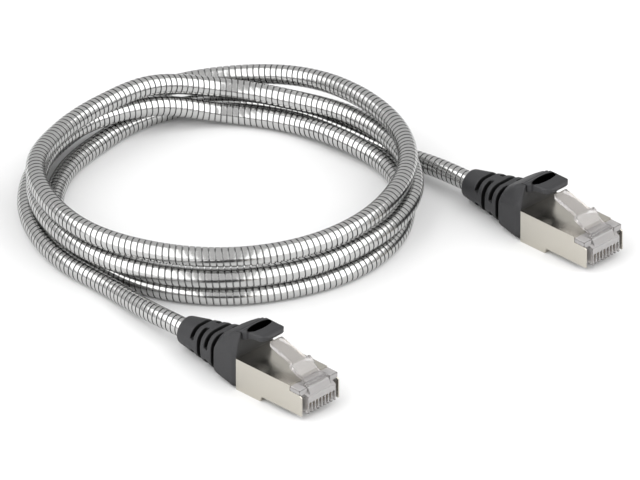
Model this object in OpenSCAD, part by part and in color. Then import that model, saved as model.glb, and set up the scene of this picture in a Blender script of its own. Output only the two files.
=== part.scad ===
// Shielded ethernet patch cable in a flexible steel-strip armour, laid down in a loose coil.
// Two 8-way modular plugs lie side by side and point along +X, with the coil behind them.
// Units are millimetres. The origin is on the table, midway between the two plugs.

/* [Plug] */
// Width over the metal shell
plug_w = 11.7; // [11.5:0.1:12]
// Height of the nose of the plug, without its latch
nose_h = 6.4; // [6.2:0.1:6.8]
// Length of the plug in front of its boot
plug_l = 20.4; // [19:0.2:22]
// Thickness of the sheet metal of the shell
shell_t = 0.3; // [0.2:0.05:0.4]
// Distance between neighbouring contacts
contact_pitch = 1.02; // [1:0.01:1.04]

/* [Boot] */
// Width of the collar that grips the plug
collar_w = 12.2; // [12:0.1:13]
// Length of the collar
collar_l = 7; // [6:0.5:9]
// Length of the slotted strain relief behind the collar
relief_l = 13.6; // [12:0.4:16]
// Diameter of the strain relief at its free end
relief_d = 6.6; // [6:0.2:8]
// Width of each flex slot
slot_w = 1.25; // [0.8:0.05:1.4]
// Width of the hood over the latch
hood_w = 7.4; // [7:0.2:8.4]

/* [Cable] */
// Diameter over the armour
cable_d = 4.5; // [4:0.1:4.8]
// Distance between the two plugs as they lie
plug_pitch = 89.2; // [80:0.2:100]
// Rings of the coil's tube in each loop
rings_per_loop = 24; // [12:4:24]

/* [Hidden] */
SIDES = ["a", "b"];
CONTACTS = 8;
PAIRS = ["orange", "green", "blue", "brown"];

// Plug: x is 0 at the nose and falls towards the boot, y is 0 at the middle, z is 0 at the table.
heel_z = 0;                          // underside of the wide rear of the plug
nose_z = 1.3;                        // underside of the nose
top_z = nose_z + nose_h;             // top of the shell
step_x = -13;                        // where the nose ends and the heel begins
bevel_x = -3.65;                     // rear end of the bevel at the top of the nose
bevel_h = 2.1;                       // height that the bevel takes off
core_w = plug_w - 2 * shell_t;       // width of the moulded body inside the shell
notch_x = -4.1;                      // the shell's top and the corners of its sides end here
notch_z = 6.3;                       // top of the shell's sides in front of that
window_x = -8;                       // the shell's underside is open in front of here, for the contacts
pocket_y = 4.3;                      // the nose is open between here and the shell's sides
pocket_l = 2.4;
pocket_top_z = 5.9;
lug_front_x = -1.05;
lug_foot_z = 5;                      // the shell's top is open above here in front of the notch
lug_gap = 0.5;                       // between the latch and the lugs beside it
lug_fit = 0.1;                       // between a lug and the edges of the shell
cavity_front_x = -8;                 // the body is hollow behind here, for the comb and the pairs
cavity_w = 8.8;
cavity_z = 2.5;
cavity_h = 4;
mouth_r = 3.4;                       // round way into the rear of the body, for the ground barrel
nose_x = (plug_l + collar_l + relief_l) / 2;
boot_end_x = -plug_l - collar_l - relief_l;
axis_z = 4.1;                        // height of the cable's axis in the plug

// Latch: a sprung arm moulded at the nose, here turning on a root bar.
latch_x = -1.9;
latch_z = 7.55;
root_r = 0.6;
play = 0.05;                         // running clearance of both hinges
latch_w = 6;
tab_w = 3.9;
latch_t = 0.9;
shoulder_x = -6.9;                   // rear of the two shoulders that lock in the jack
shoulder_z = 10.6;
tab_x = -14.4;                       // free end of the tab
tab_z = 12.75;

// Hood: a tongue of the boot that keeps the latch from snagging, here turning on a root barrel.
guard_x = -21.3;
guard_z = 12.4;
barrel_r = 1.2;
root_w = 9;                        // width of the hood where it leaves the collar
hood_rear_x = -20.4;
hood_rear_z = 14.1;                  // top of the rim behind the hood's hole
hood_tip_x = -13.8;
hood_tip_z = 14.45;
hood_edge_r = 1.1;                   // roundness of the hood's long edges
hole_x = -18.85;                     // middle of the oval hole through the hood
hole_l = 6.2;
hole_w = 1.9;

// Contacts and conductors.
blade_t = 0.3;
slot_clear = 0.14;                   // on each side of a contact
slot_l = 6.2;                        // length of the contact slots from the nose
slot_top_z = 4.1;
wire_d = 0.74;
bore_d = 0.94;                       // each conductor's bore in the body and comb
bore_front_x = -1.45;
wire_z = 4.75;
comb_front_x = -8;
comb_rear_x = -11;
jacket_x = -17;                      // where the inner jacket ends and the pairs fan out
jacket_r = 1.5;
foil_r = 1.62;
armour_wall = 0.45;
bundle_r = 1.05;                     // radius on which the eight conductors lie in the cable
// How far a conductor has swung in from the comb to the bundle, and where along the plug.
fan = [[0, -11.4], [0.25, -12.4], [0.5, -13.6], [0.75, -14.9], [1, -16.2]];

// Flex slots of the strain relief.
slot_rows = 4;
slot_pitch = 2.55;
first_slot = 0.65;                   // from the collar's rear to the first row
core_r = 2.75;                       // round core that no slot cuts into
web_w = 2.6;                         // width of the webs between the slots of a row
grip = 0.02;                         // between the boot's bore and the cable

// Ground barrel of the shell, with the sleeve crimped on it.
barrel_rear_x = -27;
barrel_out_r = 2.95;

// The coil: radius and height of the cable's middle, every 22.5 degrees, clockwise from -90.
coil_c = [-56, 2.4];
lay_step = 22.5;
coil_lay = [
    [43.2, 2.3], [42.8, 2.3], [43, 2.4], [43.5, 2.8],
    [44.5, 3.6], [46, 5.5], [47, 7.4], [45.2, 10.3],
    [42.2, 12.4], [41.6, 12.3], [40.8, 12.3], [40, 12.3],
    [40.2, 12.3], [40.8, 12.3], [41.2, 12.3], [41.4, 12.3],
    [41.9, 12.3], [41.4, 12.3], [41, 12.3], [38.6, 12],
    [37.6, 12], [39, 11.6], [41.5, 7.6], [40.6, 6.8],
    [41, 7.3], [41.8, 7.3], [42.2, 7.3], [41.6, 7.3],
    [40.8, 7.3], [41.2, 7.3], [41.6, 7.3], [41.8, 7.3],
    [41.6, 7.3], [41.2, 7.3], [41, 7.3], [40.7, 7.3],
    [39.8, 7.3], [38.4, 6.6], [38.9, 2.8], [38.2, 2.3],
    [37.2, 3.2], [39.4, 2.6], [40.2, 2.3], [41, 2.3],
    [41, 2.3], [40.4, 2.3], [40.4, 2.3], [39.8, 2.3],
    [38, 2.3], [37.6, 2.3], [37.2, 2.3], [37.2, 2.3],
    [38, 2.3], [41.6, 2.3], [44.4, 2.3], [43.8, 2.3],
    [42.2, 2.3]
];
last_lay = len(coil_lay) - 1;
coil_turns = last_lay * lay_step / 360;
coil_rings = round(coil_turns * rings_per_loop);
coil_sides = 8;

// The two free stretches, from each boot to the coil.
lead_a_route = [
    [-20.5, -44.6, 4.1], [-25, -44.6, 4.1], [-31, -44.2, 3.7], [-37, -43.2, 3.1],
    [-43, -42, 2.6], [-49.5, -41.1, 2.3], [-56, -40.8, 2.3]
];
lead_b_route = [
    [-20.5, 44.6, 4.1], [-25, 44.6, 4.1], [-31, 44.6, 3.8], [-37, 44.6, 3.1],
    [-43, 44.6, 2.5], [-49.5, 44.6, 2.3], [-56, 44.6, 2.3]
];
lead_sides = 10;
lead_cuts = 2;                       // rings between two points of a free stretch
coil_apart = 8;                      // rings nearer than this along the coil aren't tested for their gap

function unit(v) = v / norm(v);
function side_y(s) = (s == "a" ? -1 : 1) * plug_pitch / 2;

// Smooth curve through a list of points: value at u, counted in points from the first.
function bend(list, k, last) = k == 0 || k == last ? list[0] * 0 : (list[k + 1] - list[k - 1]) / 2;
function smooth(list, u) =
    let (last = len(list) - 1, i = min(floor(u), last - 1), t = u - i)
    (2 * t * t * t - 3 * t * t + 1) * list[i]
    + (t * t * t - 2 * t * t + t) * bend(list, i, last)
    + (3 * t * t - 2 * t * t * t) * list[i + 1]
    + (t * t * t - t * t) * bend(list, i + 1, last);

function coil_at(u) =
    let (lay = smooth(coil_lay, u), turn = -90 - lay_step * u)
    [coil_c.x + lay[0] * cos(turn), coil_c.y + lay[0] * sin(turn), lay[1]];
coil_path = [for (k = [0:coil_rings]) coil_at(k * last_lay / coil_rings)];

function lead_path(route) =
    let (last = len(route) - 1)
    concat([route[0]], [for (k = [lead_cuts:last * lead_cuts]) smooth(route, k / lead_cuts)]);

// Direction of a path at point k.
function along(path, k) =
    let (last = len(path) - 1)
    k == 0 ? unit(path[1] - path[0])
    : k == last ? unit(path[last] - path[last - 1])
    : unit(path[k + 1] - path[k - 1]);
// The same at an end that meets its neighbour square to X.
function square_to_x(path, k) = [sign(along(path, k).x), 0, 0];
function ring(p, d, r, sides) =
    let (across = unit(cross(d, [0, 0, 1])), up = cross(across, d))
    [for (j = [0:sides - 1])
        let (turn = 360 * (j + 0.5) / sides)
        p + r * (cos(turn) * across + sin(turn) * up)];

// A closed round tube along a path. Square ends face along X where flat_ends is true.
module tube(path, d, sides, flat_ends = false) {
    last = len(path) - 1;
    rings = [for (k = [0:last])
        each ring(path[k], flat_ends && (k == 0 || k == last) ? square_to_x(path, k) : along(path, k),
            d / 2, sides)];
    walls = [for (k = [0:last - 1]) for (j = [0:sides - 1])
        let (a = k * sides + j, b = k * sides + (j + 1) % sides)
        each [[a, b, b + sides], [a, b + sides, a + sides]]];
    front = [for (j = [1:sides - 2]) [0, j + 1, j]];
    back = [for (j = [1:sides - 2]) [last * sides, last * sides + j, last * sides + j + 1]];
    polyhedron(concat(rings), concat(walls, front, back), convexity = 10);
}

// Close half an outline with its mirror image, below the X axis or left of the Y axis.
function both_sides(half) =
    concat(half, [for (k = [len(half) - 1:-1:0]) [half[k].x, -half[k].y]]);
function both_ways(half) =
    concat(half, [for (k = [len(half) - 1:-1:0]) [-half[k].x, half[k].y]]);

// Moves a piece from the plug's own frame to one end of the cable.
module at_plug(s) {
    translate([nose_x, side_y(s), 0])
        children();
}
// Extrudes an outline drawn in x and z by a width across the plug.
module across_plug(w) {
    translate([0, w / 2, 0])
        rotate([90, 0, 0])
            linear_extrude(w)
                children();
}
// A bar along y.
module bar(x, z, r, w) {
    translate([x, w / 2, z])
        rotate([90, 0, 0])
            cylinder(r = r, h = w, $fn = 48);
}
// A round piece along x, from x0 forwards to x1.
module shank(x0, x1, r) {
    translate([x0, 0, axis_z])
        rotate([0, 90, 0])
            cylinder(r = r, h = x1 - x0, $fn = 48);
}
// A plate of rounded outline that stands across the cable.
module plate(x, w, z0, z1, r, t = 0.4) {
    translate([x, 0, 0])
        rotate([90, 0, 90])
            linear_extrude(t) {
                translate([r - w / 2, z0])
                    square([w - 2 * r, z1 - z0]);
                translate([-w / 2, z0 + r])
                    square([w, z1 - z0 - 2 * r]);
                for (y = [r - w / 2, w / 2 - r], z = [z0 + r, z1 - r])
                    translate([y, z])
                        circle(r = r, $fn = 32);
            }
}

module profile(inset) {
    polygon([
        [0, nose_z + inset],
        [0, top_z - bevel_h],
        [bevel_x, top_z - inset],
        [inset - plug_l, top_z - inset],
        [inset - plug_l, heel_z + inset],
        [step_x - inset, heel_z + inset],
        [step_x + 0.4 - inset, nose_z + inset]
    ]);
}

function contact_y(n) = (n - (CONTACTS + 1) / 2) * contact_pitch;

// The eight round bores that hold the ends of the conductors.
module wire_bores(x0, x1) {
    for (n = [1:CONTACTS])
        translate([x0, contact_y(n), wire_z])
            rotate([0, 90, 0])
                cylinder(d = bore_d, h = x1 - x0, $fn = 24);
}

// A block beside the latch: it fills the corner that the shell leaves open.
module lug() {
    y = latch_w / 2 + lug_gap;
    x = notch_x + lug_fit;
    z = notch_z + lug_fit;
    length = lug_front_x - x;
    top = top_z - shell_t;
    translate([x, y, lug_foot_z])
        cube([length, core_w / 2 - y, top - lug_foot_z]);
    translate([x, y, z])
        cube([length, plug_w / 2 - y, top - z]);
}
// The low hump at the nose that the latch's root is moulded into.
module root_hump() {
    across_plug(latch_w + 0.6)
        polygon([[-0.2, 5.4], [-1, 7], [-1.3, 7.2], [-2.4, 7.2], [-3, 6.9], [-3, 6]]);
}

module plug_body(s) {
    color("whitesmoke", 0.6)
        at_plug(s)
            difference() {
                union() {
                    across_plug(core_w)
                        profile(shell_t);
                    for (m = [0, 1])
                        mirror([0, m, 0])
                            lug();
                    root_hump();
                }
                bar(latch_x, latch_z, root_r + play, latch_w + 2 * play);
                for (m = [0, 1])
                    mirror([0, m, 0])
                        translate([-pocket_l, pocket_y, 0])
                            cube([pocket_l + 1, plug_w, pocket_top_z]);
                for (n = [1:CONTACTS])
                    translate([-slot_l, contact_y(n) - blade_t / 2 - slot_clear, 0])
                        cube([slot_l + 1, blade_t + 2 * slot_clear, slot_top_z]);
                wire_bores(cavity_front_x - 0.05, bore_front_x);
                translate([-plug_l - 1, -cavity_w / 2, cavity_z])
                    cube([cavity_front_x + plug_l + 1, cavity_w, cavity_h]);
                shank(-plug_l - 1, -plug_l + 1, mouth_r);
            }
}

// The arm leaves the root flat, sweeps up to its shoulders and runs on straight as the tab.
module latch_outline() {
    polygon([
        [latch_x, latch_z + root_r], [-3.2, 8.35], [-4.6, 9.1], [-5.9, 10.3],
        [shoulder_x + 0.5, shoulder_z], [shoulder_x, shoulder_z],
        [tab_x + 0.4, tab_z], [tab_x, tab_z - 0.2],
        [tab_x, tab_z - latch_t + 0.1], [tab_x + 0.3, tab_z - latch_t],
        [shoulder_x - 0.4, shoulder_z - latch_t], [-6.1, 9.35],
        [-4.9, 8.45], [-3.6, 7.9], [-2.6, 7.5], [latch_x, latch_z - 0.3]
    ]);
}
// The arm from above: full width to the shoulders, with a waist in front of them, then the tab.
module latch_plan() {
    polygon(both_sides([
        [0, latch_w / 2], [shoulder_x + 3, latch_w / 2 - 0.35], [shoulder_x + 1.4, latch_w / 2],
        [shoulder_x, latch_w / 2], [shoulder_x, tab_w / 2 + 0.25],
        [shoulder_x - 0.4, tab_w / 2], [tab_x + 0.6, tab_w / 2], [tab_x - 0.1, tab_w / 2 - 0.6]
    ]));
}

module latch(s) {
    color("whitesmoke", 0.6)
        at_plug(s) {
            bar(latch_x, latch_z, root_r, latch_w);
            intersection() {
                across_plug(latch_w)
                    latch_outline();
                linear_extrude(20)
                    latch_plan();
            }
        }
}

module shield_shell(s) {
    color("silver")
        at_plug(s) {
            difference() {
                across_plug(plug_w)
                    profile(0);
                across_plug(core_w)
                    profile(shell_t);
                translate([notch_x, -plug_w, notch_z])
                    cube([5, 2 * plug_w, 3]);
                translate([notch_x, -core_w / 2, lug_foot_z])
                    cube([5, core_w, 3]);
                translate([window_x, -core_w / 2, 0])
                    cube([9, core_w, 3]);
                translate([-0.5, -plug_w, 0])
                    cube([2, 2 * plug_w, 10]);
                translate([-plug_l - 1, -core_w / 2, heel_z + shell_t])
                    cube([3, core_w, top_z - heel_z - 2 * shell_t]);
            }
            difference() {
                union() {
                    plate(-plug_l, core_w, heel_z + shell_t, top_z - shell_t, 0.2, 0.3);
                    shank(barrel_rear_x, -plug_l + 0.3, barrel_out_r);
                }
                shank(barrel_rear_x - 1, -plug_l + 1, barrel_out_r - 0.3);
            }
        }
}

module crimp_sleeve(s) {
    color("gainsboro")
        at_plug(s)
            difference() {
                shank(barrel_rear_x + 0.3, -plug_l - 0.4, barrel_out_r + 0.35);
                shank(barrel_rear_x, -plug_l, barrel_out_r);
            }
}

module wire_comb(s) {
    color("white")
        at_plug(s)
            difference() {
                translate([comb_rear_x, -4.3, wire_z - 1])
                    cube([comb_front_x - comb_rear_x, 8.6, 1.7]);
                wire_bores(comb_rear_x - 1, comb_front_x + 1);
            }
}

module contact(n, s) {
    color("gold")
        at_plug(s)
            translate([0, contact_y(n), 0])
                across_plug(blade_t)
                    polygon([
                        [-0.5, 3.1], [-0.7, 2.3], [-1.3, 1.95], [-5.6, 1.95], [-6, 2.4],
                        [-6, 3.6], [-5.2, 3.6], [-4.9, 4.05], [-4.6, 3.6], [-2.4, 3.6],
                        [-2.1, 4.05], [-1.8, 3.6], [-0.5, 3.6]
                    ]);
}

// Each conductor runs straight in the comb, then swings in to its place in the round bundle:
// odd numbers go to the upper half and even ones to the lower, in four columns.
function wire_route(n) =
    let (
        turn = 157.5 - 45 * floor((n - 1) / 2),
        y = contact_y(n),
        end_y = bundle_r * cos(turn),
        end_z = axis_z + (n % 2 == 1 ? 1 : -1) * bundle_r * sin(turn)
    )
    concat(
        [[-1.7, y, wire_z]],
        [for (f = fan)
            let (rise = min(1, 2 * f[0]))
            [f[1], y + f[0] * (end_y - y), wire_z + rise * (end_z - wire_z)]],
        [[jacket_x, end_y, end_z]]
    );

module conductors(ends, s, tint) {
    color(tint)
        at_plug(s)
            for (n = ends)
                tube(wire_route(n), wire_d, 6);
}

module inner_jacket(s) {
    color("dimgray")
        at_plug(s)
            shank(boot_end_x, jacket_x, jacket_r);
}

module foil_screen(s) {
    color("lightsteelblue")
        at_plug(s)
            difference() {
                shank(-27.8, -18.4, foil_r);
                shank(-28, -18, jacket_r);
            }
}

module armour_end(s) {
    color("silver")
        at_plug(s)
            difference() {
                shank(boot_end_x, barrel_rear_x - 0.8, cable_d / 2);
                shank(boot_end_x - 1, barrel_rear_x, cable_d / 2 - armour_wall);
            }
}

// One row of flex slots: they open at the two sides, or at the top and underside.
module slot_row(x, sideways) {
    reach = 18;
    translate([x, 0, axis_z])
        rotate([sideways ? 0 : 90, 0, 0])
            difference() {
                cube([slot_w, reach, reach], center = true);
                cube([slot_w + 1, web_w, reach + 1], center = true);
                rotate([0, 90, 0])
                    cylinder(r = core_r, h = slot_w + 1, center = true, $fn = 48);
            }
}

module boot(s) {
    front = -plug_l;
    rear = front - collar_l;
    // sections of the collar and of the rise to the hood: x, width, underside, top, corner radius
    sections = [
        [front - 0.4, collar_w - 0.7, 0.4, 9.6, 1.2],
        [front - 1.4, collar_w, 0.05, 10, 1.4],
        [front - 0.6, hood_w, 6, 13.8, 0.8],
        [front - 3, root_w + 1.2, 6, 12.6, 1.3],
        [front - 4.8, root_w + 1.6, 5, 11.5, 2],
        [rear + 0.3, root_w + 1, 5, 10.1, 2.6],
        [rear, collar_w - 0.8, 0.4, 8.9, 2.4]
    ];
    color("#3b3b3d")
        at_plug(s)
            difference() {
                union() {
                    hull()
                        for (c = sections)
                            plate(c[0], c[1], c[2], c[3], c[4]);
                    hull() {
                        plate(rear, collar_w - 1.2, 0.5, 9.4, 3);
                        shank(boot_end_x, boot_end_x + 1.6, relief_d / 2);
                    }
                }
                bar(guard_x, guard_z, barrel_r + play, root_w + 0.2);
                translate([guard_x, -collar_w / 2, guard_z])
                    cube([3, collar_w, 3]);
                shank(boot_end_x - 1, rear + 1, cable_d / 2 + grip);
                shank(barrel_rear_x - 0.3, -plug_l + 1, barrel_out_r + 0.4);
                for (k = [0:slot_rows - 1])
                    slot_row(rear - first_slot - slot_pitch * k, k % 2 == 0);
            }
}

module hood_outline() {
    polygon([
        [guard_x, guard_z + 1.1],
        [hood_rear_x, hood_rear_z],
        [hood_tip_x - 1.5, hood_tip_z],
        [hood_tip_x - 0.5, hood_tip_z - 0.1],
        [hood_tip_x, hood_tip_z - 0.6],
        [hood_tip_x - 0.2, hood_tip_z - 1.1],
        [hood_tip_x - 0.9, hood_tip_z - 1.35],
        [-17.4, 12.95], [-18.6, 12.55], [-19.4, 12.05], [-19.8, 11.8],
        [guard_x, guard_z - 0.8]
    ]);
}
// The hood from above: drawn in from the collar, with a bowed front edge and round corners.
module hood_plan() {
    half = hood_w / 2;
    bow_l = 2.2;
    power = 2 / 2.4;
    bow = [for (t = [0:9:90])
        [hood_tip_x - bow_l + bow_l * pow(cos(t), power), half * pow(sin(t), power)]];
    side = concat(bow, [
        [-18.8, half], [-20, half + 0.15], [guard_x + 0.3, root_w / 2], [guard_x - barrel_r, root_w / 2]
    ]);
    polygon(both_sides(side));
}
// The hood from the nose: leaning sides, and a flat top with round long edges.
module hood_section() {
    half = hood_w / 2 + 0.15;
    edge = [for (t = [90:-25:15])
        [half + hood_edge_r * (cos(t) - 1), hood_tip_z + 0.05 + hood_edge_r * (sin(t) - 1)]];
    polygon(both_ways(concat(edge, [[root_w / 2, guard_z - 0.2], [root_w / 2, 9]])));
}
module latch_guard(s) {
    color("#3b3b3d")
        at_plug(s)
            difference() {
                intersection() {
                    union() {
                        bar(guard_x, guard_z, barrel_r, root_w);
                        intersection() {
                            across_plug(root_w)
                                hood_outline();
                            linear_extrude(20)
                                hood_plan();
                        }
                    }
                    translate([guard_x - 3, 0, 0])
                        rotate([90, 0, 90])
                            linear_extrude(14)
                                hood_section();
                }
                for (y = [hole_w - hole_l, hole_l - hole_w] / 2)
                    translate([hole_x, y, 10])
                        cylinder(d = hole_w, h = 8, $fn = 32);
                translate([hole_x - hole_w / 2, (hole_w - hole_l) / 2, 10])
                    cube([hole_w, hole_l - hole_w, 8]);
            }
}

color("silver") tube(coil_path, cable_d, coil_sides, true);  // cable_coil
color("silver") tube(lead_path(lead_a_route), cable_d, lead_sides, true);  // cable_lead_a
color("silver") tube(lead_path(lead_b_route), cable_d, lead_sides, true);  // cable_lead_b

for (s = SIDES) {
    boot(s);
    latch_guard(s);
    plug_body(s);
    latch(s);
    shield_shell(s);
    crimp_sleeve(s);
    wire_comb(s);
    inner_jacket(s);
    foil_screen(s);
    armour_end(s);
    conductors([1, 2], s, "orange");
    conductors([3, 6], s, "seagreen");
    conductors([4, 5], s, "royalblue");
    conductors([7, 8], s, "saddlebrown");
    for (n = [1:CONTACTS])
        contact(n, s);
}

// Least gap between two stretches of the coil, measured on the points of its middle.
gaps = [for (i = [0:coil_rings - coil_apart]) for (j = [i + coil_apart:coil_rings])
    norm(coil_path[i] - coil_path[j])];
echo(least_coil_gap = min(gaps) - cable_d);
coil_steps = [for (k = [1:coil_rings]) norm(coil_path[k] - coil_path[k - 1])];
echo(coil_length = coil_steps * [for (k = coil_steps) 1]);
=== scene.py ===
import bpy
import bmesh
import math
from mathutils import Matrix, Vector


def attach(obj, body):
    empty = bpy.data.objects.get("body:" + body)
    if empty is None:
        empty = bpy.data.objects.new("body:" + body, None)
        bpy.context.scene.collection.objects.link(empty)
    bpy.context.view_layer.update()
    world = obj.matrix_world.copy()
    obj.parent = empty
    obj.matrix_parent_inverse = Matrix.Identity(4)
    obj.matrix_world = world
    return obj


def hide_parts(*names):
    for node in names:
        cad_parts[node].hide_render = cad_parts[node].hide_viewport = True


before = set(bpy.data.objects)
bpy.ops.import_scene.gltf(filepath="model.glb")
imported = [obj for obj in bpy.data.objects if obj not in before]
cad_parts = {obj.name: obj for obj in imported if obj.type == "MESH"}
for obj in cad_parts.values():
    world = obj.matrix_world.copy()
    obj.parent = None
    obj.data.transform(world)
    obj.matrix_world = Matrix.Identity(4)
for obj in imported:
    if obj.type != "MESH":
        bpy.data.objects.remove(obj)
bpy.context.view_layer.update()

mm = 0.001  # the frame is in metres, the sizes here are in millimetres
scene = bpy.context.scene

plugs = {
    "noseX": 20.5,  # front of both plugs
    "pitch": 89.2,  # from one plug's middle to the other's
    "cableZ": 4.1,  # height of the cable where it leaves a boot
    "bootEnd": -41.0,  # rear of the boot, measured from the nose
    "sides": {"a": -1, "b": 1},
}

view = {
    "azimuth": 44.3,
    "elevation": 30.2,
    "aim": (-31.85, 8.43, 0.0),  # the table point in the middle of the frame
    "distance": 4500.0,
    "across": 140.7,  # what the frame spans at that point
}

# camera
turn, rise = math.radians(view["azimuth"]), math.radians(view["elevation"])
backwards = Vector((math.sin(turn) * math.cos(rise), -math.cos(turn) * math.cos(rise), math.sin(rise)))
cameraData = bpy.data.cameras.new("camera")
cameraData.lens = cameraData.sensor_width * view["distance"] / view["across"]
cameraData.clip_end = 20
camera = bpy.data.objects.new("camera", cameraData)
scene.collection.objects.link(camera)
camera.location = (Vector(view["aim"]) + backwards * view["distance"]) * mm
camera.rotation_euler = (-backwards).to_track_quat("-Z", "Y").to_euler()
scene.camera = camera
scene.view_settings.view_transform = "Standard"
print("camera ready")


# nodes and colours

def addNode(tree, kind, inputs=None, **settings):
    node = tree.nodes.new(kind)
    for name, value in settings.items():
        setattr(node, name, value)
    for key, value in (inputs or {}).items():
        if isinstance(value, bpy.types.NodeSocket):
            tree.links.new(value, node.inputs[key])
        else:
            node.inputs[key].default_value = value
    return node


def linear(hexColour):
    parts = [int(hexColour[i:i + 2], 16) / 255 for i in (1, 3, 5)]
    return [c / 12.92 if c <= 0.04045 else ((c + 0.055) / 1.055) ** 2.4 for c in parts] + [1.0]


def newMaterial(name):
    material = bpy.data.materials.new(name)
    material.use_nodes = True
    tree = material.node_tree
    return material, tree, tree.nodes["Principled BSDF"]


# The armour: stainless strip wound in a helix, one rib a turn.
armour = {
    "diameter": 4.5,
    "pitch": 1.42,  # one turn of the strip
    "groove": 0.26,  # depth of the seam between two turns
    "segments": 26,  # straight pieces in one turn
    "overlap": 2.0,  # how far the armour goes on inside a boot
    # place across the strip, from seam to seam, and depth as a part of the groove's
    "section": [(0.0, 1.0), (0.06, 0.85), (0.09, 0.12), (0.11, 0.0), (0.14, -0.01), (0.5, -0.03), (0.86, -0.01),
                (0.89, 0.0), (0.91, 0.12), (0.94, 0.85), (1.0, 1.0)],
}

# The cable's way, as the CAD source has it: coil radius and height every 22.5 degrees from -90, clockwise.
cableWay = {
    "coilCentre": (-56, 2.4),
    "layStep": 22.5,
    "coilLay": [
        (43.2, 2.3), (42.8, 2.3), (43, 2.4), (43.5, 2.8), (44.5, 3.6), (46, 5.5), (47, 7.4), (45.2, 10.3),
        (42.2, 12.4), (41.6, 12.3), (40.8, 12.3), (40, 12.3), (40.2, 12.3), (40.8, 12.3), (41.2, 12.3),
        (41.4, 12.3), (41.9, 12.3), (41.4, 12.3), (41, 12.3), (38.6, 12), (37.6, 12), (39, 11.6), (41.5, 7.6),
        (40.6, 6.8), (41, 7.3), (41.8, 7.3), (42.2, 7.3), (41.6, 7.3), (40.8, 7.3), (41.2, 7.3), (41.6, 7.3),
        (41.8, 7.3), (41.6, 7.3), (41.2, 7.3), (41, 7.3), (40.7, 7.3), (39.8, 7.3), (38.4, 6.6), (38.9, 2.8),
        (38.2, 2.3), (37.2, 3.2), (39.4, 2.6), (40.2, 2.3), (41, 2.3), (41, 2.3), (40.4, 2.3), (40.4, 2.3),
        (39.8, 2.3), (38, 2.3), (37.6, 2.3), (37.2, 2.3), (37.2, 2.3), (38, 2.3), (41.6, 2.3), (44.4, 2.3),
        (43.8, 2.3), (42.2, 2.3),
    ],
    "leadA": [(-20.5, -44.6, 4.1), (-25, -44.6, 4.1), (-31, -44.2, 3.7), (-37, -43.2, 3.1),
              (-43, -42, 2.6), (-49.5, -41.1, 2.3), (-56, -40.8, 2.3)],
    "leadB": [(-20.5, 44.6, 4.1), (-25, 44.6, 4.1), (-31, 44.6, 3.8), (-37, 44.6, 3.1),
              (-43, 44.6, 2.5), (-49.5, 44.6, 2.3), (-56, 44.6, 2.3)],
    "cuts": 8,  # points that the smooth line has for each of these
}


def smooth(points, u):
    last = len(points) - 1
    i = min(int(u), last - 1)
    t = u - i

    def bend(k):
        return points[0] * 0 if k in (0, last) else (points[k + 1] - points[k - 1]) / 2

    return ((2 * t**3 - 3 * t**2 + 1) * points[i] + (t**3 - 2 * t**2 + t) * bend(i)
            + (3 * t**2 - 2 * t**3) * points[i + 1] + (t**3 - t**2) * bend(i + 1))


def cableLine():
    lay = [Vector(p) for p in cableWay["coilLay"]]
    cuts = cableWay["cuts"]
    leads = []
    for name in ("leadA", "leadB"):
        route = [Vector(p) for p in cableWay[name]]
        leads.append([smooth(route, k / cuts) for k in range((len(route) - 1) * cuts + 1)])
    coil = []
    for k in range((len(lay) - 1) * cuts + 1):
        radius, height = smooth(lay, k / cuts)
        angle = math.radians(-90 - cableWay["layStep"] * k / cuts)
        centre = cableWay["coilCentre"]
        coil.append(Vector((centre[0] + radius * math.cos(angle), centre[1] + radius * math.sin(angle), height)))
    inside = Vector((armour["overlap"], 0, 0))
    line = [leads[0][0] + inside] + leads[0] + coil[1:-1] + leads[1][::-1] + [leads[1][0] + inside]
    return [p * mm for p in line]


def meshObject(name, vertices, edges=(), faces=()):
    mesh = bpy.data.meshes.new(name)
    mesh.from_pydata([tuple(v) for v in vertices], list(edges), list(faces))
    mesh.update()
    made = bpy.data.objects.new(name, mesh)
    scene.collection.objects.link(made)
    return made


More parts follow.
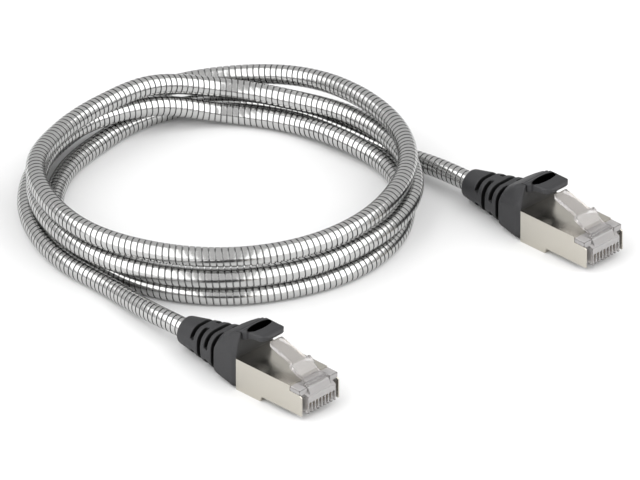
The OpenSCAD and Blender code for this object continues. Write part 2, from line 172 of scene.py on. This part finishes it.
def armourTree(material):
    # A strip wound along a line: every point knows its turn, and its place across the strip.
    tree = bpy.data.node_groups.new("woundStrip", "GeometryNodeTree")
    face = tree.interface
    face.new_socket("Line", in_out="INPUT", socket_type="NodeSocketGeometry")
    for name, kind in (("Radius", "Float"), ("Pitch", "Float"), ("Groove", "Float"), ("Segments", "Int")):
        face.new_socket(name, in_out="INPUT", socket_type="NodeSocket" + kind)
    face.new_socket("Strip", in_out="OUTPUT", socket_type="NodeSocketGeometry")
    given = addNode(tree, "NodeGroupInput").outputs

    rows = len(armour["section"])
    line = addNode(tree, "GeometryNodeMeshToCurve", {"Mesh": given["Line"]}).outputs[0]
    value = {name.lower(): given[name] for name in ("Radius", "Pitch", "Groove", "Segments")}
    value["length"] = addNode(tree, "GeometryNodeCurveLength", {0: line}).outputs[0]
    value["index"] = addNode(tree, "GeometryNodeInputIndex").outputs[0]
    # one row makes one arithmetic node: its name, what it does and what goes in, by name or as a number
    before = [
        ("lengths", "DIVIDE", "length", "pitch"),
        ("turns", "FLOOR", "lengths"),
        ("allTurns", "ADD", "turns", 2.0),
        ("steps", "MULTIPLY", "allTurns", "segments"),
        ("columns", "ADD", "steps", 1.0),
        ("halfOn", "ADD", "index", 0.5),
        ("inRows", "DIVIDE", "halfOn", rows),
        ("column", "FLOOR", "inRows"),
        ("turn", "DIVIDE", "column", "segments"),
        ("row", "FLOORED_MODULO", "index", rows),
        ("rowPart", "DIVIDE", "row", rows - 1),
    ]
    # the first turn's rear edge and the last turn's front edge close on the middle
    after = [
        ("fromStart", "SUBTRACT", "turn", 1.0),
        ("places", "ADD", "fromStart", "across"),
        ("freeAlong", "MULTIPLY", "places", "pitch"),
        ("notPast", "MINIMUM", "freeAlong", "length"),
        ("along", "MAXIMUM", "notPast", 0.0),
        ("sunk", "MULTIPLY", "depth", "groove"),
        ("outer", "SUBTRACT", "radius", "sunk"),
        ("isFirst", "LESS_THAN", "turn", 0.999),
        ("isRear", "LESS_THAN", "row", 0.5),
        ("firstEnd", "MULTIPLY", "isFirst", "isRear"),
        ("nearLast", "ADD", "turns", 1.001),
        ("isLast", "GREATER_THAN", "turn", "nearLast"),
        ("isFront", "GREATER_THAN", "row", rows - 1.5),
        ("lastEnd", "MULTIPLY", "isLast", "isFront"),
        ("ends", "ADD", "firstEnd", "lastEnd"),
        ("open", "SUBTRACT", 1.0, "ends"),
        ("reach", "MULTIPLY", "outer", "open"),
        ("angle", "MULTIPLY", "turn", 2 * math.pi),
        ("cosine", "COSINE", "angle"),
        ("sine", "SINE", "angle"),
    ]
    for name, operation, *parts in before:
        inputs = {k: value.get(part, part) for k, part in enumerate(parts)}
        value[name] = addNode(tree, "ShaderNodeMath", inputs, operation=operation).outputs[0]
    for place, name in enumerate(("across", "depth")):
        node = addNode(tree, "ShaderNodeFloatCurve", {"Value": value["rowPart"]})
        mapping = node.mapping
        mapping.use_clip = False
        curve = mapping.curves[0]
        for k, values in enumerate(armour["section"]):
            at = (k / (rows - 1), values[place])
            if 0 < k < rows - 1:
                curve.points.new(*at)
            else:
                curve.points[0 if k == 0 else len(curve.points) - 1].location = at
        for point in curve.points:
            point.handle_type = "VECTOR"
        mapping.update()
        value[name] = node.outputs[0]
    for name, operation, *parts in after:
        inputs = {k: value.get(part, part) for k, part in enumerate(parts)}
        value[name] = addNode(tree, "ShaderNodeMath", inputs, operation=operation).outputs[0]
    grid = addNode(tree, "GeometryNodeMeshGrid", {"Vertices X": value["columns"], "Vertices Y": rows}).outputs[0]
    sample = addNode(tree, "GeometryNodeSampleCurve", {"Curves": line, "Length": value["along"]},
                     mode="LENGTH", use_all_curves=True)
    normal = sample.outputs["Normal"]
    side = addNode(tree, "ShaderNodeVectorMath", {0: sample.outputs["Tangent"], 1: normal},
                   operation="CROSS_PRODUCT").outputs[0]
    ahead = addNode(tree, "ShaderNodeVectorMath", {0: normal, "Scale": value["cosine"]}, operation="SCALE").outputs[0]
    aside = addNode(tree, "ShaderNodeVectorMath", {0: side, "Scale": value["sine"]}, operation="SCALE").outputs[0]
    out = addNode(tree, "ShaderNodeVectorMath", {0: ahead, 1: aside}, operation="ADD").outputs[0]
    spoke = addNode(tree, "ShaderNodeVectorMath", {0: out, "Scale": value["reach"]}, operation="SCALE").outputs[0]
    place = addNode(tree, "ShaderNodeVectorMath", {0: sample.outputs["Position"], 1: spoke},
                    operation="ADD").outputs[0]
    placed = addNode(tree, "GeometryNodeSetPosition", {"Geometry": grid, "Position": place}).outputs[0]
    spot = addNode(tree, "ShaderNodeCombineXYZ", {0: value["along"], 1: value["across"], 2: value["turn"]}).outputs[0]
    kept = addNode(tree, "GeometryNodeStoreNamedAttribute",
                   {"Geometry": placed, "Name": "strip", "Value": spot}, data_type="FLOAT_VECTOR", domain="POINT")
    merged = addNode(tree, "GeometryNodeMergeByDistance", {0: kept.outputs[0], "Distance": 2e-6}).outputs[0]
    smoothed = addNode(tree, "GeometryNodeSetShadeSmooth", {0: merged}).outputs[0]
    solid = addNode(tree, "GeometryNodeRealizeInstances", {0: smoothed}).outputs[0]
    dressed = addNode(tree, "GeometryNodeSetMaterial", {0: solid, "Material": material}).outputs[0]
    addNode(tree, "NodeGroupOutput", {0: dressed})
    return tree


def runTree(holder, tree, values, name):
    # Puts the tree on an object, sets its inputs by identifier and turns the result into a plain mesh.
    modifier = holder.modifiers.new("nodes", "NODES")
    modifier.node_group = tree
    for item in tree.interface.items_tree:
        if item.item_type == "SOCKET" and item.in_out == "INPUT" and item.name in values:
            modifier[item.identifier] = values[item.name]
    holder.update_tag()
    evaluated = holder.evaluated_get(bpy.context.evaluated_depsgraph_get())
    mesh = bpy.data.meshes.new_from_object(evaluated)
    made = bpy.data.objects.new(name, mesh)
    scene.collection.objects.link(made)
    bpy.data.objects.remove(holder)
    return made


# Stainless strip, cold rolled: a bright metal that mirrors the room, with painted shade making it near black down in
# its seams.
def stainlessStrip():
    material, tree, shader = newMaterial("stainlessStrip")
    strip = addNode(tree, "ShaderNodeAttribute", attribute_name="strip")
    parts = addNode(tree, "ShaderNodeSeparateXYZ", {0: strip.outputs["Vector"]})
    middle = addNode(tree, "ShaderNodeMath", {0: parts.outputs[1], 1: 0.5}, operation="SUBTRACT")
    edge = addNode(tree, "ShaderNodeMath", {0: middle.outputs[0]}, operation="ABSOLUTE")
    # painted shade: across the seams the strip's colour goes near black, standing in for the shadow in the grooves
    seam = addNode(tree, "ShaderNodeMapRange", {0: edge.outputs[0], 1: 0.375, 2: 0.4})
    tint = addNode(tree, "ShaderNodeMix", {0: seam.outputs[0], 6: linear("#c3c3c2"), 7: linear("#0c0b0b")},
                   data_type="RGBA")
    tree.links.new(tint.outputs[2], shader.inputs["Base Color"])
    # rolling marks run along the strip, finer than they show, so they are drawn 0.12 mm apart
    stretched = addNode(tree, "ShaderNodeVectorMath", {0: strip.outputs["Vector"], 1: (60, 12, 0.35)},
                        operation="MULTIPLY")
    grain = addNode(tree, "ShaderNodeTexNoise", {"Vector": stretched.outputs[0], "Scale": 1.0, "Detail": 3.0})
    gloss = addNode(tree, "ShaderNodeMapRange", {0: grain.outputs[0], 1: 0.3, 2: 0.7, 3: 0.14, 4: 0.24})
    tree.links.new(gloss.outputs[0], shader.inputs["Roughness"])
    shader.inputs["Metallic"].default_value = 1.0
    return material


line = cableLine()
holder = meshObject("armourLine", line, [(k, k + 1) for k in range(len(line) - 1)])
cable = runTree(holder, armourTree(stainlessStrip()), {
    "Radius": armour["diameter"] / 2 * mm,
    "Pitch": armour["pitch"] * mm,
    "Groove": armour["groove"] * mm,
    "Segments": armour["segments"],
}, "armouredCable")
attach(cable, "root")
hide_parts("cable_lead_a", "cable_coil", "cable_lead_b")


# The moulded boot and hood: copies of their solids, welded, refilled and smoothed to the round edges of a moulding.
moulding = {
    "bootCell": 0.16,  # size of the cells that refill the boot
    "hoodCell": 0.11,  # and the hood
    "rounds": 4,  # rounds of smoothing
    "weld": 0.002,  # points of a solid that are nearer than this are one
    "collarEnd": -27.4,  # from the nose
    "rootZ": 12.4,  # height of the axis on which the hood bends
    "seatAxis": (-21.45, 12.13),  # a little behind and below that axis, from the nose and from the table
    # the bar that closes its seat: place along the axis and radius, wider past the root's two ends
    "seatBar": [(-6.6, 3.6), (-4.08, 3.6), (-4.08, 1.27), (4.08, 1.27), (4.08, 3.6), (6.6, 3.6)],
    "rise": [(4.1, 13.65), (4.5, 13.4), (4.75, 12.8)],  # half the outline of the rise to the hood, from the nose
    "riseX": -20.4,  # where that outline stands, from the nose
    "cutReach": 9,  # size of the solids that cut, past anything they cut
    "slotRows": 4,
    "slotFirst": -28.05,  # middle of the row next to the collar, from the nose
    "slotPitch": 2.55,
    "slotWidth": 1.45,
    "slotCore": 2.45,  # radius down to which the flex slots go
    "web": 2.4,
    "hole": (-18.95, 1.25, 3.4),  # oval hole of the hood: middle from the nose, half width, half length
    "rootTrim": [(-24, 4.0), (-20.6, 3.95), (-19.6, 3.9), (-19.2, 6), (-24, 6)],  # plan of what the root loses
}


def meshCopy(node, name):
    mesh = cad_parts[node].data.copy()
    mesh.name = name
    mesh.materials.clear()
    made = bpy.data.objects.new(name, mesh)
    scene.collection.objects.link(made)
    work = bmesh.new()
    work.from_mesh(mesh)
    bmesh.ops.remove_doubles(work, verts=work.verts, dist=moulding["weld"] * mm)
    work.to_mesh(mesh)
    work.free()
    return made


def setModifiers(piece, kinds):
    for kind, settings in kinds:
        modifier = piece.modifiers.new(kind.lower(), kind)
        for name, value in settings.items():
            setattr(modifier, name, value)


def keepShape(piece):
    # turns what the modifiers make into the piece's own mesh
    evaluated = piece.evaluated_get(bpy.context.evaluated_depsgraph_get())
    piece.data, old = bpy.data.meshes.new_from_object(evaluated), piece.data
    piece.modifiers.clear()
    bpy.data.meshes.remove(old)


def cut(piece, other, operation):
    setModifiers(piece, [("BOOLEAN", {"object": other, "operation": operation, "solver": "EXACT"})])
    keepShape(piece)
    bpy.data.objects.remove(other)


def prism(name, outline, place, depth):
    # a closed solid: the outline, drawn across the direction of place's own z, pushed to both sides of it
    count = len(outline)
    corners = [place @ Vector((x, y, z)) for z in (-depth / 2, depth / 2) for x, y in outline]
    walls = [(k, (k + 1) % count, count + (k + 1) % count, count + k) for k in range(count)]
    return meshObject(name, corners, faces=[tuple(range(count))[::-1], tuple(range(count, 2 * count))] + walls)


def turned(name, profile, place, count=48):
    # a closed solid of rings about place's own z, each a height and a radius
    ring = [2 * math.pi * k / count for k in range(count)]
    corners = [place @ (Vector((r * math.cos(t), r * math.sin(t), z)) * mm) for z, r in profile for t in ring]
    walls = [(j + k, j + (k + 1) % count, j + count + (k + 1) % count, j + count + k)
             for j in range(0, count * (len(profile) - 1), count) for k in range(count)]
    ends = [tuple(range(count))[::-1], tuple(range(count * (len(profile) - 1), count * len(profile)))]
    return meshObject(name, corners, faces=ends + walls)


def cutSlots(boot, sign):
    # rows of flex slots, open at the two sides and at top and underside by turns
    core, web, far = moulding["slotCore"] * mm, moulding["web"] / 2 * mm, moulding["cutReach"] * mm
    start = math.acos(web / core)
    arc = [(core * math.cos(t), core * math.sin(t)) for t in (start * (1 - k / 8) for k in range(17))]
    outline = [(web, far)] + arc + [(web, -far), (far, -far), (far, far)]
    for row in range(moulding["slotRows"]):
        x = plugs["noseX"] + moulding["slotFirst"] - row * moulding["slotPitch"]
        middle = Matrix.Translation(Vector((x, sign * plugs["pitch"] / 2, plugs["cableZ"])) * mm)
        upright = middle @ Matrix.Rotation(math.pi / 2, 4, "Y") @ Matrix.Rotation(math.pi / 2, 4, "Z")
        for half in (0, 1):
            turned = upright @ Matrix.Rotation(math.pi * half + math.pi / 2 * (row % 2), 4, "Z")
            cut(boot, prism("slot", outline[::-1], turned, moulding["slotWidth"] * mm), "DIFFERENCE")


def fillSeat(boot, sign):
    # closes the seat that the hood turns in, inside the collar's own outline
    collar = boot.copy()
    collar.data = boot.data.copy()
    scene.collection.objects.link(collar)
    work = bmesh.new()
    work.from_mesh(boot.data)
    edge = (plugs["noseX"] + moulding["collarEnd"] - 0.05) * mm
    bmesh.ops.delete(work, geom=[v for v in work.verts if v.co.x < edge], context="VERTS")
    for y, z in moulding["rise"]:
        for half in (-1, 1):
            place = Vector((plugs["noseX"] + moulding["riseX"], sign * plugs["pitch"] / 2 + half * y, z))
            work.verts.new(place * mm)
    hull = bmesh.ops.convex_hull(work, input=work.verts)
    inner = [g for g in hull["geom_interior"] + hull["geom_unused"] if isinstance(g, bmesh.types.BMVert)]
    bmesh.ops.delete(work, geom=inner, context="VERTS")
    bmesh.ops.delete(work, geom=[f for f in work.faces if f not in set(hull["geom"])], context="FACES")
    work.to_mesh(collar.data)
    work.free()
    x, z = moulding["seatAxis"]
    root = Vector((plugs["noseX"] + x, sign * plugs["pitch"] / 2, z)) * mm
    bar = turned("seat", moulding["seatBar"], Matrix.Translation(root) @ Matrix.Rotation(math.pi / 2, 4, "X"))
    cut(bar, collar, "INTERSECT")
    cut(boot, bar, "UNION")


def cutHole(hood, sign):
    x, wide, long = moulding["hole"]
    middle = Vector((plugs["noseX"] + x, sign * plugs["pitch"] / 2, moulding["rootZ"])) * mm
    oval = [(wide * mm * math.cos(t), long * mm * math.sin(t)) for t in (2 * math.pi * k / 40 for k in range(40))]
    cut(hood, prism("hole", oval, Matrix.Translation(middle), moulding["cutReach"] * mm), "DIFFERENCE")
    # the root's ends go flush with the collar
    for half in (-1, 1):
        corner = [(x * mm, half * y * mm) for x, y in moulding["rootTrim"]][::half]
        trim = Matrix.Translation(Vector((plugs["noseX"], sign * plugs["pitch"] / 2, moulding["rootZ"])) * mm)
        cut(hood, prism("trim", corner, trim, moulding["cutReach"] * mm), "DIFFERENCE")


def markHole(hood, sign):
    # the hole's wall carries an attribute along which the boot's material paints shade: near black and without a
    # sheen
    x, wide, long = moulding["hole"]
    hollow = hood.data.attributes.new("hollow", "FLOAT", "POINT")
    for vertex in hood.data.vertices:
        along = (vertex.co.x / mm - plugs["noseX"] - x) / wide
        across = (vertex.co.y / mm - sign * plugs["pitch"] / 2) / long
        hollow.data[vertex.index].value = min(1.0, max(0.0, (1.14 - math.hypot(along, across)) / 0.12))


def mould(piece, cell, material):
    setModifiers(piece, [
        ("REMESH", {"mode": "VOXEL", "voxel_size": cell * mm}),
        ("SMOOTH", {"factor": 0.5, "iterations": moulding["rounds"]}),
    ])
    keepShape(piece)
    piece.data.materials.clear()
    piece.data.materials.append(material)
    piece.data.shade_smooth()


# Boot PVC, injection moulded in a spark-eroded tool: soft black with a fine matt grain and dusty highlights, with
# painted shade darkening its slots, undersides and the hood's hole.
def bootPvc():
    material, tree, shader = newMaterial("bootPvc")
    place = addNode(tree, "ShaderNodeTexCoord")
    # 0.12 mm grain, twice the real one, so that it shows
    grain = addNode(tree, "ShaderNodeTexNoise", {"Vector": place.outputs["Object"], "Scale": 1 / (0.12 * mm),
                                                 "Detail": 2.0})
    cloud = addNode(tree, "ShaderNodeTexNoise", {"Vector": place.outputs["Object"], "Scale": 1 / (5 * mm)})
    tint = addNode(tree, "ShaderNodeMix", {0: cloud.outputs[0], 6: linear("#232325"), 7: linear("#29292b")},
                   data_type="RGBA")
    gloss = addNode(tree, "ShaderNodeMapRange", {0: grain.outputs[0], 1: 0.3, 2: 0.7, 3: 0.48, 4: 0.62})
    bump = addNode(tree, "ShaderNodeBump", {"Height": grain.outputs[0], "Strength": 0.18, "Distance": 0.02 * mm})
    # painted shade: slots and undersides are darkened to near black in the colour, by ambient occlusion
    openness = addNode(tree, "ShaderNodeAmbientOcclusion", {"Distance": 3.5 * mm}, samples=8)
    reach = addNode(tree, "ShaderNodeMapRange", {0: openness.outputs["AO"], 1: 0.45, 2: 0.86})
    shade = addNode(tree, "ShaderNodeMix", {0: reach.outputs[0], 6: linear("#020202"), 7: tint.outputs[2]},
                    data_type="RGBA")
    # painted shade: the hood's hole is coloured near black and loses its sheen
    hollow = addNode(tree, "ShaderNodeAttribute", attribute_name="hollow")
    shade = addNode(tree, "ShaderNodeMix", {0: hollow.outputs["Fac"], 6: shade.outputs[2], 7: linear("#020202")},
                    data_type="RGBA")
    sheen = addNode(tree, "ShaderNodeMapRange", {0: hollow.outputs["Fac"], 3: 0.5, 4: 0.0})
    tree.links.new(sheen.outputs[0], shader.inputs["Specular IOR Level"])
    tree.links.new(shade.outputs[2], shader.inputs["Base Color"])
    tree.links.new(gloss.outputs[0], shader.inputs["Roughness"])
    tree.links.new(bump.outputs[0], shader.inputs["Normal"])
    return material


# Nickel plate on stamped brass: a warm bright mirror, softened by the sheet's rolling marks.
def nickelPlate(name, colour, rough, polish):
    material, tree, shader = newMaterial(name)
    place = addNode(tree, "ShaderNodeTexCoord")
    # rolling marks 0.15 mm apart, drawn out ten times along the plug
    scale = addNode(tree, "ShaderNodeMapping", {"Vector": place.outputs["Object"],
                                                "Scale": [0.1 / (0.15 * mm)] + [1 / (0.15 * mm)] * 2})
    marks = addNode(tree, "ShaderNodeTexNoise", {"Vector": scale.outputs[0], "Scale": 1.0, "Detail": 2.0})
    haze = addNode(tree, "ShaderNodeTexNoise", {"Vector": place.outputs["Object"], "Scale": 1 / (2.5 * mm)})
    both = addNode(tree, "ShaderNodeMath", {0: marks.outputs[0], 1: haze.outputs[0]}, operation="MULTIPLY")
    gloss = addNode(tree, "ShaderNodeMapRange", {0: both.outputs[0], 1: 0.12, 2: 0.4, 3: rough, 4: rough + polish})
    bump = addNode(tree, "ShaderNodeBump", {"Height": haze.outputs[0], "Strength": 0.15, "Distance": 0.02 * mm})
    tree.links.new(gloss.outputs[0], shader.inputs["Roughness"])
    tree.links.new(bump.outputs[0], shader.inputs["Normal"])
    shader.inputs["Base Color"].default_value = linear(colour)
    shader.inputs["Metallic"].default_value = 1.0
    return material


# Clear polycarbonate, moulded and polished: grey glass with bright edges, and flow lines from the gate; its colour is
# darkened near the edges as a painted dark reflection.
def clearPolycarbonate(name, clearness, edgeShadeReach):
    material, tree, shader = newMaterial(name)
    place = addNode(tree, "ShaderNodeTexCoord")
    flow = addNode(tree, "ShaderNodeTexNoise", {"Vector": place.outputs["Object"], "Scale": 1 / (1.5 * mm),
                                                "Distortion": 1.5})
    bump = addNode(tree, "ShaderNodeBump", {"Height": flow.outputs[0], "Strength": 0.25, "Distance": 0.06 * mm})
    gloss = addNode(tree, "ShaderNodeMapRange", {0: flow.outputs[0], 1: 0.3, 2: 0.7, 3: 0.03, 4: 0.1})
    tree.links.new(bump.outputs[0], shader.inputs["Normal"])
    tree.links.new(gloss.outputs[0], shader.inputs["Roughness"])
    # painted dark reflection: near an edge the colour is darkened, standing in for the plastic bending the view to
    # the dark side of the room
    solid = addNode(tree, "ShaderNodeAmbientOcclusion", {"Distance": edgeShadeReach * mm}, samples=8, inside=True)
    reach = addNode(tree, "ShaderNodeMapRange", {0: solid.outputs["AO"], 1: 0.45, 2: 0.8})
    tint = addNode(tree, "ShaderNodeMix", {0: reach.outputs[0], 6: linear("#4a4643"), 7: linear("#dfdcdb")},
                   data_type="RGBA")
    tree.links.new(tint.outputs[2], shader.inputs["Base Color"])
    shader.inputs["IOR"].default_value = 1.585
    shader.inputs["Transmission Weight"].default_value = clearness
    return material


# Hard gold over nickel: a deep warm mirror that is a little worn; its colour is darker than real gold, painted shade
# for contacts that sit in shadow in their slots.
def goldPlate():
    material, tree, shader = newMaterial("goldPlate")
    place = addNode(tree, "ShaderNodeTexCoord")
    wear = addNode(tree, "ShaderNodeTexNoise", {"Vector": place.outputs["Object"], "Scale": 1 / (0.4 * mm)})
    # painted shade: both golds are darkened; the mix between them is wear
    tint = addNode(tree, "ShaderNodeMix", {0: wear.outputs[0], 6: linear("#8f7844"), 7: linear("#a68f5c")},
                   data_type="RGBA")
    gloss = addNode(tree, "ShaderNodeMapRange", {0: wear.outputs[0], 3: 0.15, 4: 0.35})
    tree.links.new(tint.outputs[2], shader.inputs["Base Color"])
    tree.links.new(gloss.outputs[0], shader.inputs["Roughness"])
    shader.inputs["Metallic"].default_value = 1.0
    return material


# Polyethylene insulation, extruded: waxy and smooth, one wire of a pair white and the other coloured.
def wireInsulation(pair, whiteSide):
    material, tree, shader = newMaterial("insulation" + pair["name"].capitalize())
    place = addNode(tree, "ShaderNodeTexCoord")
    parts = addNode(tree, "ShaderNodeSeparateXYZ", {0: place.outputs["Object"]})
    pitch = plugs["pitch"] * mm
    moved = addNode(tree, "ShaderNodeMath", {0: parts.outputs[1], 1: pitch}, operation="ADD")
    local = addNode(tree, "ShaderNodeMath", {0: moved.outputs[0], 1: pitch}, operation="FLOORED_MODULO")
    half = pitch / 2 + pair["between"] * mm
    side = addNode(tree, "ShaderNodeMath", {0: local.outputs[0], 1: half},
                   operation="LESS_THAN" if whiteSide < 0 else "GREATER_THAN")
    tint = addNode(tree, "ShaderNodeMix", {0: side.outputs[0], 6: linear(pair["colour"]), 7: linear("#e9e7e0")},
                   data_type="RGBA")
    wax = addNode(tree, "ShaderNodeTexNoise", {"Vector": place.outputs["Object"], "Scale": 1 / (0.5 * mm)})
    gloss = addNode(tree, "ShaderNodeMapRange", {0: wax.outputs[0], 3: 0.32, 4: 0.45})
    tree.links.new(tint.outputs[2], shader.inputs["Base Color"])
    tree.links.new(gloss.outputs[0], shader.inputs["Roughness"])
    return material


# A plain moulded or extruded plastic with a faint mottle, for the comb and the inner jacket.
def plainPlastic(name, dark, light, rough):
    material, tree, shader = newMaterial(name)
    place = addNode(tree, "ShaderNodeTexCoord")
    mottle = addNode(tree, "ShaderNodeTexNoise", {"Vector": place.outputs["Object"], "Scale": 1 / (0.8 * mm)})
    tint = addNode(tree, "ShaderNodeMix", {0: mottle.outputs[0], 6: linear(dark), 7: linear(light)},
                   data_type="RGBA")
    gloss = addNode(tree, "ShaderNodeMapRange", {0: mottle.outputs[0], 3: rough, 4: rough + 0.12})
    tree.links.new(tint.outputs[2], shader.inputs["Base Color"])
    tree.links.new(gloss.outputs[0], shader.inputs["Roughness"])
    return material


# Aluminium foil wrapped round the pairs: bright, with creases about a millimetre apart.
def wrappedFoil():
    material, tree, shader = newMaterial("wrappedFoil")
    place = addNode(tree, "ShaderNodeTexCoord")
    crease = addNode(tree, "ShaderNodeTexVoronoi", {"Vector": place.outputs["Object"], "Scale": 1 / mm},
                     feature="DISTANCE_TO_EDGE")
    bump = addNode(tree, "ShaderNodeBump", {"Height": crease.outputs[0], "Strength": 0.5, "Distance": 0.05 * mm})
    gloss = addNode(tree, "ShaderNodeMapRange", {0: crease.outputs[0], 1: 0.0, 2: 0.3, 3: 0.4, 4: 0.22})
    tree.links.new(bump.outputs[0], shader.inputs["Normal"])
    tree.links.new(gloss.outputs[0], shader.inputs["Roughness"])
    shader.inputs["Base Color"].default_value = linear("#d5d7da")
    shader.inputs["Metallic"].default_value = 1.0
    return material


# Edges of the plug's own parts: width and steps of the bevel on each.
edges = {
    "shield_shell": (0.07, 2),
    "plug_body": (0.12, 2),
    "latch": (0.22, 3),
    "contact": (0.04, 1),
}
pairs = [
    # between: y of the line between the two wires of a pair; white: the side of it on which the white one lies
    {"name": "orange", "colour": "#d9641e", "between": -3.06, "white": -1},
    {"name": "green", "colour": "#2f8f4a", "between": 0.0, "white": -1},
    {"name": "blue", "colour": "#2b59b8", "between": 0.0, "white": 1},
    {"name": "brown", "colour": "#6e4423", "between": 3.06, "white": -1},
]


def dressNode(node, material, edge=None):
    # the solid stays as it is, with a material, and with fine round edges where it shows
    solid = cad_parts[node]
    solid.data.materials.clear()
    solid.data.materials.append(material)
    if edge:
        setModifiers(solid, [
            ("WELD", {"merge_threshold": moulding["weld"] * mm}),
            ("BEVEL", {"width": edge[0] * mm, "segments": edge[1], "limit_method": "ANGLE",
                       "angle_limit": math.radians(25)}),
            ("WEIGHTED_NORMAL", {"weight": 80}),
        ])
        solid.data.shade_smooth()


def makePlugs():
    pvc, gold, foil = bootPvc(), goldPlate(), wrappedFoil()
    # the thick nose looks milkier than the thin latch
    clearNose = clearPolycarbonate("polycarbonateNose", 0.62, 0.3)
    clearLatch = clearPolycarbonate("polycarbonateLatch", 0.85, 0.12)
    shell = nickelPlate("nickelPlate", "#c4c0b7", 0.17, 0.1)
    crimp = nickelPlate("crimpedSleeve", "#b9b6b0", 0.22, 0.14)
    nylon = plainPlastic("combNylon", "#d9d7cf", "#e6e4dd", 0.35)
    jacket = plainPlastic("jacketPvc", "#343538", "#3d3e41", 0.45)
    strip = cable.data.materials[0]
    for side, sign in plugs["sides"].items():
        boot = meshCopy("boot_" + side, "bootMoulding_" + side)
        fillSeat(boot, sign)
        cutSlots(boot, sign)
        mould(boot, moulding["bootCell"], pvc)
        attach(boot, "root")
        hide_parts("boot_" + side)
        hood = meshCopy("latch_guard_" + side, "hoodMoulding_" + side)
        cutHole(hood, sign)
        mould(hood, moulding["hoodCell"], pvc)
        markHole(hood, sign)
        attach(hood, "latch_guard_" + side)
        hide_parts("latch_guard_" + side)
        dressNode("shield_shell_" + side, shell, edges["shield_shell"])
        dressNode("plug_body_" + side, clearNose, edges["plug_body"])
        dressNode("latch_" + side, clearLatch, edges["latch"])
        dressNode("crimp_sleeve_" + side, crimp)
        dressNode("wire_comb_" + side, nylon)
        dressNode("inner_jacket_" + side, jacket)
        dressNode("foil_screen_" + side, foil)
        dressNode("armour_end_" + side, strip)
        for number in range(1, 9):
            dressNode("contact_%d_%s" % (number, side), gold, edges["contact"])
        print("plug", side, "ready,", len(boot.data.polygons), "faces in the boot")
    for pair in pairs:
        wire = wireInsulation(pair, pair["white"])
        for side in plugs["sides"]:
            dressNode("pair_%s_%s" % (pair["name"], side), wire)


makePlugs()


# floor, room and lamps
studio = {
    "floorSize": 4.0,  # metres
    "floor": "#e3e3e3",
    # the room's brightness against the sine of the height above the horizon
    "room": [(-0.02, 1.0), (0.0, 0.2), (0.035, 0.2), (0.07, 0.66), (0.5, 0.7), (1.0, 0.7)],
    # softboxes either side of the camera, with a gap between them that it looks through
    "softboxes": {"aside": 46.0, "rise": 52.0, "away": 1.3, "width": 1.45, "height": 2.9, "power": 25.0},
}


def makeStudio():
    size = studio["floorSize"] / 2
    floor = meshObject("floor", [(-size, -size, 0), (size, -size, 0), (size, size, 0), (-size, size, 0)],
                       faces=[(0, 1, 2, 3)])
    material, tree, shader = newMaterial("paperSweep")
    shader.inputs["Base Color"].default_value = linear(studio["floor"])
    shader.inputs["Roughness"].default_value = 0.9
    floor.data.materials.append(material)
    world = bpy.data.worlds.new("studio")
    world.use_nodes = True
    scene.world = world
    tree = world.node_tree
    background = tree.nodes["Background"]
    place = addNode(tree, "ShaderNodeTexCoord")
    parts = addNode(tree, "ShaderNodeSeparateXYZ", {0: place.outputs["Generated"]})
    height = addNode(tree, "ShaderNodeMapRange", {0: parts.outputs[2], 1: -1.0, 2: 1.0})
    ramp = addNode(tree, "ShaderNodeValToRGB", {0: height.outputs[0]})
    stops = ramp.color_ramp.elements
    for k, (sine, value) in enumerate(studio["room"]):
        stop = stops[k] if k < 2 else stops.new(1.0)
        stop.position = (sine + 1) / 2
        stop.color = (value, value, value, 1)
    tree.links.new(ramp.outputs[0], background.inputs[0])
    aim = Vector(view["aim"]) * mm
    across, box = Vector((math.cos(turn), math.sin(turn), 0)), studio["softboxes"]
    rising, aside = math.radians(box["rise"]), math.radians(box["aside"])
    facing = Vector((math.sin(turn) * math.cos(rising), -math.cos(turn) * math.cos(rising), math.sin(rising)))
    for side in (-1, 1):
        data = bpy.data.lights.new("softbox", "AREA")
        data.shape, data.size, data.size_y, data.energy = "RECTANGLE", box["width"], box["height"], box["power"]
        lamp = bpy.data.objects.new("softbox", data)
        back = facing * math.cos(aside) + across * side * math.sin(aside)
        wide = across * math.cos(aside) - facing * side * math.sin(aside)
        # columns: the lamp's own x, y and z; it shines along -z
        lamp.matrix_world = Matrix.Translation(aim + back * box["away"]) @ Matrix(
            (wide, back.cross(wide), back)).transposed().to_4x4()
        scene.collection.objects.link(lamp)
    print("studio ready")


makeStudio()
